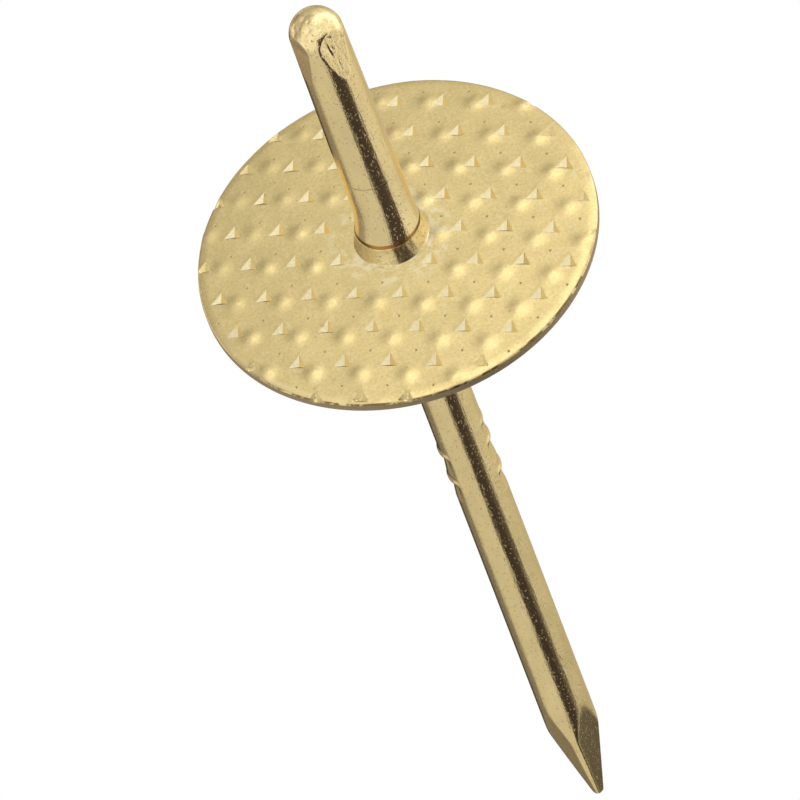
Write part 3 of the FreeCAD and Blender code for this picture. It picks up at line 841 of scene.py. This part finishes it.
class Tree:
    """A node tree whose nodes are all added by one method."""

    def __init__(self, owner):
        owner.use_nodes = True
        self.nodes = owner.node_tree.nodes
        self.links = owner.node_tree.links
        self.nodes.clear()

    def node(self, kind, settings=None, inputs=None, output=0):
        """Adds a node, sets its settings, then its sockets' values or links; gives an output."""
        made = self.nodes.new(kind)
        for key, value in (settings or {}).items():
            setattr(made, key, value)
        for key, value in (inputs or {}).items():
            if isinstance(value, Wire):
                self.links.new(value.socket, made.inputs[key])
            else:
                made.inputs[key].default_value = value
        return Wire(self, made.outputs[output]) if len(made.outputs) else None

    def mix(self, factor, first, second):
        """One colour turning into another by a factor."""
        first, second = (c if isinstance(c, Wire) else opaque(c) for c in (first, second))
        return self.node("ShaderNodeMix", {"data_type": "RGBA"},
                         {"Factor": factor, 6: first, 7: second}, output=2)

    def between(self, value, low, high):
        """0 below low, 1 above high, smooth between them."""
        return self.node("ShaderNodeMapRange", {"interpolation_type": "SMOOTHSTEP"},
                         {"Value": value, "From Min": low, "From Max": high})

    def band(self, value, low, rise, fall, high):
        """1 from rise to fall, 0 below low and above high, smooth between them."""
        return self.between(value, low, rise) * (1.0 - self.between(value, fall, high))

    def away(self, first, second):
        """Length of a vector of two parts: the root of the sum of their squares."""
        return self.node("ShaderNodeMath", {"operation": "SQRT"}, {0: first * first + second * second})

    def noise(self, where, name):
        """Even noise about one half, by its row in the table of noises."""
        scale, detail, rough, drawn = NOISES[name]
        return self.node("ShaderNodeTexNoise", {"noise_dimensions": "3D"}, {
            "Vector": self.stretch(where, (1.0, drawn, 1.0)),
            "Scale": scale, "Detail": detail, "Roughness": rough})

    def marks(self, where, name):
        """1 where a noise's marks are, 0 beside them."""
        return self.between(self.noise(where, name), *MARKS[name])

    def layers(self, tone, *coats):
        """A colour under coats, each a factor and a colour, from the lowest up."""
        for factor, coat in coats:
            tone = self.mix(factor, tone, coat)
        return tone

    def stretch(self, where, factors):
        """A vector with each coordinate multiplied."""
        return self.node("ShaderNodeVectorMath", {"operation": "MULTIPLY"}, {0: where, 1: factors})

    def ray(self, kind):
        """1 for light paths of one kind, 0 for others."""
        return self.node("ShaderNodeLightPath", output=f"Is {kind} Ray")

    def limit(self, value, most):
        """A value, or the most it may be."""
        return self.node("ShaderNodeMath", {"operation": "MINIMUM"}, {0: value, 1: most})


def opaque(value):
    """A colour with full alpha."""
    return (*value, 1.0)


def shaded(value, times):
    """A colour made lighter or darker."""
    return tuple(min(1.0, channel * times) for channel in value)


def start_finish(name):
    """A new material, its tree, and Object coordinates in millimetres, whole and one by one."""
    material = bpy.data.materials.new(name)
    tree = Tree(material)
    where = tree.stretch(tree.node("ShaderNodeTexCoord", output="Object"), [1.0 / MM] * 3)
    axes = [tree.node("ShaderNodeSeparateXYZ", inputs={0: where}, output=axis) for axis in "XYZ"]
    return material, tree, where, *axes


def end_finish(tree, tone, rough, height, strength):
    """Leads a colour, a roughness and a fine relief into metal and on to the material's output."""
    bump = tree.node("ShaderNodeBump", inputs={
        "Strength": strength, "Distance": RELIEF, "Height": height})
    shader = tree.node("ShaderNodeBsdfPrincipled", inputs={
        "Base Color": tone, "Metallic": 1.0, "Roughness": rough, "Normal": bump,
        "Specular Tint": EDGE_TINT})
    tree.node("ShaderNodeOutputMaterial", inputs={"Surface": shader})


def nail_finish(finish, n):
    """Polished brass plate: draw marks and pocks along the wire, painted glints and specks of painted
    shade on the end, and two lines of painted shade.
    """
    material, tree, where, across, along, _ = start_finish("polished_brass_plate")
    draw, specks, patches, lumps = (
        tree.noise(where, kind) for kind in ("draw", "specks", "wire", "glints"))
    end = 1.0 - tree.between(along, *END_FADE)
    # A broken ring line of painted shade over a slight groove of relief in the stub.
    ring = tree.band(along, *RING_LINE) * tree.band(across, *RING_SIDES)
    # Painted shade in the gap under the stub's foot: orange-brown in its middle and dark at its ends.
    shoulder = tree.band(along, *FOOT_LINE)
    aside = across - n.foot_offset
    gap_shade = tree.mix(tree.between(aside * aside, *FOOT_ENDS), finish.gap_orange, finish.painted_shade)
    tone = tree.layers(
        shaded(finish.brass, DARK_CLOUD),
        (tree.between(patches, *CLOUDS), shaded(finish.brass, LIGHT_CLOUD)),
        # Painted gold and white glints on the stub's end.
        (tree.between(lumps, *GOLD_GLINTS) * end, shaded(finish.brass, HIGHLIGHT_LIFT)),
        (tree.between(lumps, *WHITE_GLINTS) * end * 0.8, finish.wear_and_highlight),
        # Specks of painted shade in nicks on the stub's end.
        (tree.marks(where, "nicks") * end * 0.6, finish.painted_shade),
        (ring * tree.between(patches, *RING_PARTS) * 0.28, finish.painted_shade),
        (shoulder * 0.9, gap_shade),
    )
    rough = finish.polish + 0.10 * tree.between(specks, *SPECKS) + 0.06 * patches + 0.25 * shoulder
    height = draw * 0.6 + specks * 0.5 - tree.marks(where, "scars") * 0.30
    height = height - tree.marks(where, "pocks") * 0.8 - ring * 0.6
    end_finish(tree, tone, rough, height, 1.0)
    return material


def disc_finish(finish, d):
    """Satin brass plate: grain, sand and stains, pit sides painted lit, reflecting and shaded, painted
    shade and reflection on the collar, a painted highlight and shade line on the rim, and a dull cut
    edge.
    """
    material, tree, where, across, along, upward = start_finish("satin_brass_plate")
    grain, patches, marks, sand = (
        tree.noise(where, kind) for kind in ("grain", "clouds", "collar", "sand"))
    aside = across - d.offset
    inside = tree.away(aside, upward) - d.radius
    edge = tree.between(inside, *EDGE_REACH) * tree.between(along, *EDGE_LEVEL)
    beside = across - d.foot_offset
    near = tree.away(beside, upward)
    collar = (1.0 - tree.between(near, *COLLAR_FADE)) * (1.0 - tree.between(along, *COLLAR_LEVEL))
    # Flanks of the collar, which get a painted brass reflection and more roughness.
    flank = collar * tree.between(beside * beside, *FLANK)

    # Sides of each pit, painted: shade on the lower side, a brass reflection on the right side and a
    # highlight on the upper side.
    sides = tree.node("ShaderNodeAttribute", {"attribute_name": "pit_sides"}, output="Color")
    below, right, above = (tree.node("ShaderNodeSeparateColor", inputs={0: sides}, output=channel)
                           for channel in ("Red", "Green", "Blue"))
    # Pinpricks, which get painted shade.
    pricks = tree.node("ShaderNodeAttribute", {"attribute_name": "pricks"}, output="Fac")
    # Patches of painted highlight round the collar.
    collar_glints = tree.marks(where, "collar_glints") * (1.0 - tree.between(near, *COLLAR_GLINT_FADE))
    # A broken line of painted shade in the crease at the collar's foot.
    crease_shade = tree.band(near, *CREASE_LINE) * tree.between(patches, *CREASE_PARTS)
    # Specks of painted shade on the collar's wall.
    collar_shade = collar * tree.between(sand, *COLLAR_SHADE_SAND)
    # All the painted shade: lower pit sides, pinpricks, the collar's crease and its wall.
    painted_shade_mask = 0.6 * below + 0.8 * pricks + 0.25 * crease_shade + 0.5 * collar_shade
    # A painted highlight on the lower left of the rim.
    lean = RIM_HIGHLIGHT_WAY[0] * aside + RIM_HIGHLIGHT_WAY[1] * upward
    rim_highlight = tree.between(inside, *RIM_HIGHLIGHT_REACH) * (1.0 - edge) * tree.between(lean, *RIM_HIGHLIGHT_FADE)
    # A broken line of painted shade just inside the rim, on its lower part.
    line = tree.between(inside, *LINE_REACH) * (1.0 - tree.between(along, *LINE_LEVEL))
    line = line * tree.marks(where, "breaks") * (1.0 - tree.between(upward, *LINE_FADE))
    tone = tree.layers(
        shaded(finish.satin, DARK_CLOUD),
        (tree.between(patches, *CLOUDS), shaded(finish.satin, LIGHT_CLOUD)),
        (tree.between(sand, *SAND) * 0.55, shaded(finish.satin, SANDY)),
        (tree.between(1.0 - sand, *SAND) * 0.35, finish.wear_and_highlight),
        # Painted reflection on the pits' right sides and painted highlight on their upper sides.
        (right * 0.9, finish.deep_gold_and_reflection),
        (above * (0.45 + 0.5 * tree.between(sand, *PIT_SAND)), finish.wear_and_highlight),
        (tree.marks(where, "stains") * 0.5, shaded(finish.deep_gold_and_reflection, STAINED)),
        # Painted highlights round the collar, painted reflection on its flanks and all the painted
        # shade.
        (collar_glints * (1.0 - collar) * 0.6, finish.wear_and_highlight),
        (flank * 0.5, finish.deep_gold_and_reflection),
        (tree.limit(painted_shade_mask, 0.9), finish.painted_shade),
        # The painted rim highlight, the cut edge and the painted shade line inside the rim.
        (rim_highlight * tree.between(sand, *RIM_SAND) * 0.75, shaded(finish.brass, HIGHLIGHT_LIFT)),
        (edge, finish.edge),
        (line * 0.85, finish.painted_shade),
    )
    rough = finish.satin_rough + 0.08 * grain + 0.05 * patches + 0.40 * edge + 0.25 * flank
    height = grain * (1.0 - collar) + (2.0 * marks + 3.0 * sand) * collar + 1.5 * grain * edge
    end_finish(tree, tone, rough, height, 0.5)
    return material


# Stage


# Half of the floor's side, in metres.
FLOOR_HALF = 6.0
# The cards' tube about the nail, in metres: the first card's radius, and how much each next one adds.
CARD_RADIUS, CARD_STEP, CARD_POINTS = 0.30, 0.002, 25
# Brass of the disc as the stub mirrors it, on a card inside the sheet.
DISC_GLOW = (0.90, 0.74, 0.40)
# In millimetres: how far the card lies in front of the sheet's back, and its reach from the shank.
GLOW_DEPTH, GLOW_INNER, GLOW_OUTER = 0.16, 1.95, 5.6
# Its first and last angle, and its points outwards and round.
GLOW_START, GLOW_STOP, GLOW_POINTS = 114.0, 248.0, (9, 49)
# Strength of the surround as light, as metal mirrors it, and how much its two sides add and take.
PLAIN, MIRRORED, BRIGHTER, DARKER = 0.8, 0.84, 0.85, 0.34
# Way to the bright side, cosines where a side starts, is whole and dims, and how much it dims.
BRIGHT_WAY = (0.72, -0.425, -0.544)
SIDE_RISE, SIDE_DIM = (0.06, 0.40), (0.50, 0.75)
BRIGHT_LOSS, DARK_LOSS = 0.75, 0.7
# Lamp: place and size in metres, and power in watts. Lens in millimetres, clipping in metres.
LAMP_PLACE, LAMP_SIZE, LAMP_POWER = (0.8, -1.0, 1.4), 1.0, 8.0
LENS, CLIP_START, CLIP_END = 1500.0, 0.05, 20.0
# Cards round the nail that it mirrors: name, colour, from and to angle, from and to level in metres.
CARDS = (
    ("point_right_card", (0.13, 0.125, 0.14), 60.0, 150.0, 0.43, 1.6),
    ("stub_dark_card", (0.075, 0.061, 0.067), -11.0, 43.0, -0.16, 0.351),
    ("stub_brown_card", (0.30, 0.27, 0.28), 43.0, 45.0, 0.12, 0.351),
    ("stub_right_card", (0.96, 0.95, 0.95), 45.0, 112.0, 0.12, 0.351),
    ("stub_far_right_card", (0.78, 0.75, 0.72), 112.0, 170.0, 0.12, 0.351),
    ("shank_dark_card", (0.050, 0.042, 0.047), -8.0, 43.0, 0.351, 0.370),
    ("shank_brown_card", (0.17, 0.16, 0.17), 43.0, 49.0, 0.351, 0.370),
    ("lower_dark_card", (0.050, 0.042, 0.047), -10.0, 32.0, 0.370, 1.6),
    ("lower_brown_card", (0.16, 0.145, 0.155), 32.0, 51.0, 0.370, 1.6),
    ("shank_right_card", (0.63, 0.63, 0.63), 49.0, 170.0, 0.351, 1.6),
    ("stub_left_card", (0.41, 0.372, 0.392), -142.0, -98.0, 0.12, 0.351),
    ("shank_left_card", (0.235, 0.235, 0.28), -142.0, -98.0, 0.351, 0.43),
    ("point_left_card", (0.30, 0.29, 0.325), -142.0, -98.0, 0.43, 1.6),
    ("edge_card", (0.06, 0.055, 0.06), -190.0, -142.0, 0.20, 1.6),
    ("pit_card", (1.0, 1.0, 1.0), -142.0, -112.0, -0.06, 0.09),
    ("end_left_card", (0.37, 0.335, 0.355), -165.0, -98.0, -0.12, 0.12),
    ("left_card", (0.72, 0.72, 0.72), -98.0, 0.0, 0.12, 1.6),
)


def stage_finish(name, tint, own_colour=None):
    """A card that shows one even tint in polished metal, or a floor that is pale and shows white."""
    tree = Tree(bpy.data.materials.new(name))
    surface = tree.node("ShaderNodeEmission", inputs={"Color": opaque(tint), "Strength": 1.0})
    if own_colour:
        seen = tree.limit(tree.ray("Camera") + tree.ray("Glossy") + tree.ray("Transmission"), 1.0)
        plain = tree.node("ShaderNodeBsdfDiffuse", inputs={"Color": opaque(own_colour)})
        surface = tree.node("ShaderNodeMixShader", inputs={0: seen, 1: plain, 2: surface})
    tree.node("ShaderNodeOutputMaterial", inputs={"Surface": surface})
    return bpy.data.materials[name]


def card(name, tint, points):
    """A stage piece on a grid of points that shows in polished metal and nowhere else."""
    faces = grid_faces(*points.shape[:2], close=False)
    made = add_mesh(name, points.reshape(-1, 3), faces, stage_finish(name, tint))
    made.visible_camera = False
    made.visible_shadow = False
    made.visible_diffuse = False


def tube_part(radius, start, stop, near, far):
    """Part of a tube about the nail's axis, between two angles from -Z towards +X and two levels."""
    turn, level = np.meshgrid(np.radians(np.linspace(start, stop, CARD_POINTS)), [near, far])
    return np.stack([radius * np.sin(turn), level, -radius * np.cos(turn)], axis=-1)


def sheet_part(d):
    """Part of a sphere inside the sheet, between two angles and two distances from the shank."""
    s = disc_shape(d)
    turn = np.radians(np.linspace(GLOW_START, GLOW_STOP, GLOW_POINTS[1]))
    reach = np.linspace(GLOW_INNER, GLOW_OUTER, GLOW_POINTS[0])[:, None]
    x, z = reach * np.sin(turn), -reach * np.cos(turn)
    sphere = (s.back_sphere + GLOW_DEPTH) ** 2 - (x - d.offset) ** 2 - z ** 2
    return np.stack([x, s.middle - np.sqrt(sphere), z], axis=-1) * MM


def make_world():
    """A white surround that polished metal sees brighter on one side and darker opposite it."""
    world = bpy.data.worlds.new("white_surround")
    bpy.context.scene.world = world
    tree = Tree(world)
    way = tree.node("ShaderNodeTexCoord", output="Generated")
    lean = tree.node("ShaderNodeVectorMath", {"operation": "DOT_PRODUCT"}, {0: way, 1: BRIGHT_WAY},
                     output="Value")
    bright, dark = (tree.between(side, *SIDE_RISE) * (1.0 - loss * tree.between(side, *SIDE_DIM))
                    for side, loss in ((lean, BRIGHT_LOSS), (0.0 - lean, DARK_LOSS)))
    mirrored = MIRRORED + BRIGHTER * bright - DARKER * dark
    seen = (1.0 - PLAIN) * (tree.ray("Camera") + tree.ray("Transmission"))
    strength = PLAIN + seen + (mirrored - PLAIN) * tree.ray("Glossy")
    light = tree.node("ShaderNodeBackground", inputs={
        "Color": (1.0, 1.0, 1.0, 1.0), "Strength": strength})
    tree.node("ShaderNodeOutputWorld", inputs={"Surface": light})


def make_camera(stage):
    """A long lens at the photograph's angle, turned about its line of sight."""
    data = bpy.data.cameras.new("camera")
    data.lens = LENS
    data.clip_start = CLIP_START
    data.clip_end = CLIP_END
    camera = bpy.data.objects.new("camera", data)
    bpy.context.scene.collection.objects.link(camera)
    level, side = math.cos(stage.elevation), math.sin(stage.azimuth)
    back = Vector((side * level, -math.cos(stage.azimuth) * level, math.sin(stage.elevation)))
    right = Vector((math.cos(stage.azimuth), math.sin(stage.azimuth), 0.0))
    up = back.cross(right)
    right_turned = right * math.cos(stage.roll) - up * math.sin(stage.roll)
    up_turned = right * math.sin(stage.roll) + up * math.cos(stage.roll)
    distance = stage.view_width * LENS / data.sensor_width
    aim = Vector((stage.aim_x, stage.aim_y, 0.0))
    spin = Matrix((right_turned, up_turned, back)).transposed()
    camera.matrix_world = Matrix.Translation(aim + back * distance) @ spin.to_4x4()
    bpy.context.scene.camera = camera


# Operators


# Edges that bend more than this, in degrees, stay sharp.
NAIL_SHARP, DISC_SHARP = 28.0, 22.0


class HOOK_OT_nail(bpy.types.Operator):
    """Builds the nail: stub, shank, notches and diamond point"""

    bl_idname = "hook.nail"
    bl_label = "Build nail"

    def execute(self, context):
        sizes = in_mm(context.scene.hook_nail)
        points, faces = closed_tube(nail_surface(sizes))
        finish = nail_finish(context.scene.hook_finish, sizes)
        add_piece("nail_body", points, faces, NAIL_SHARP, finish, "nail")
        return {"FINISHED"}


class HOOK_OT_disc(bpy.types.Operator):
    """Builds the embossed disc with its collar"""

    bl_idname = "hook.disc"
    bl_label = "Build disc"

    def execute(self, context):
        sizes = in_mm(context.scene.hook_disc)
        points, faces, sides, pricks = disc_surface(sizes)
        finish = disc_finish(context.scene.hook_finish, sizes)
        piece = add_piece("disc_plate", points, faces, DISC_SHARP, finish, "disc")
        attributes = piece.data.attributes
        attributes.new("pit_sides", "FLOAT_COLOR", "FACE").data.foreach_set("color", sides.ravel())
        attributes.new("pricks", "FLOAT", "POINT").data.foreach_set("value", pricks)
        return {"FINISHED"}


class HOOK_OT_stage(bpy.types.Operator):
    """Builds the floor, the reflected cards, the light and the camera"""

    bl_idname = "hook.stage"
    bl_label = "Build stage"

    def execute(self, context):
        stage = context.scene.hook_stage
        corners = FLOOR_HALF * np.array([[-1.0, -1.0], [1.0, -1.0], [1.0, 1.0], [-1.0, 1.0]])
        points = np.column_stack([corners, np.full(4, stage.floor_level)])
        finish = stage_finish("pale_floor", (1.0, 1.0, 1.0), tuple(stage.floor))
        floor = add_mesh("floor", points, [(0, 1, 2, 3)], finish)
        for number, (name, tint, *reach) in enumerate(CARDS):
            card(name, tint, tube_part(CARD_RADIUS + CARD_STEP * number, *reach))
        card("disc_glow_card", DISC_GLOW, sheet_part(in_mm(context.scene.hook_disc)))
        make_world()
        lamp = bpy.data.lights.new("soft_lamp", "AREA")
        lamp.energy = LAMP_POWER
        lamp.size = LAMP_SIZE
        key = bpy.data.objects.new("soft_lamp", lamp)
        key.location = LAMP_PLACE
        key.rotation_euler = (-key.location).to_track_quat("-Z", "Y").to_euler()
        key.visible_glossy = False
        context.scene.collection.objects.link(key)
        make_camera(stage)
        context.scene.view_settings.view_transform = "Standard"
        return {"FINISHED"}


class HOOK_PT_panel(bpy.types.Panel):
    """Lists the hook's operators"""

    bl_idname = "HOOK_PT_panel"
    bl_label = "Picture hook"
    bl_space_type = "VIEW_3D"
    bl_region_type = "UI"
    bl_category = "Hook"

    def draw(self, context):
        column = self.layout.column()
        for operator in OPERATORS:
            column.operator(operator.bl_idname)


GROUPS = {
    "hook_nail": HookNailSizes,
    "hook_disc": HookDiscSizes,
    "hook_finish": HookFinish,
    "hook_stage": HookStage,
}
OPERATORS = (HOOK_OT_nail, HOOK_OT_disc, HOOK_OT_stage)


def register():
    """Registers the groups, operators and panel, and hangs the groups on the scene."""
    for kind in (*GROUPS.values(), *OPERATORS, HOOK_PT_panel):
        bpy.utils.register_class(kind)
    for name, kind in GROUPS.items():
        setattr(bpy.types.Scene, name, PointerProperty(type=kind))


def unregister():
    """Undoes register."""
    for name in GROUPS:
        delattr(bpy.types.Scene, name)
    for kind in reversed((*GROUPS.values(), *OPERATORS, HOOK_PT_panel)):
        bpy.utils.unregister_class(kind)


def main():
    """Builds the nail, the disc and the stage."""
    register()
    bpy.ops.hook.nail()
    bpy.ops.hook.disc()
    bpy.ops.hook.stage()


if __name__ == "__main__":
    main()
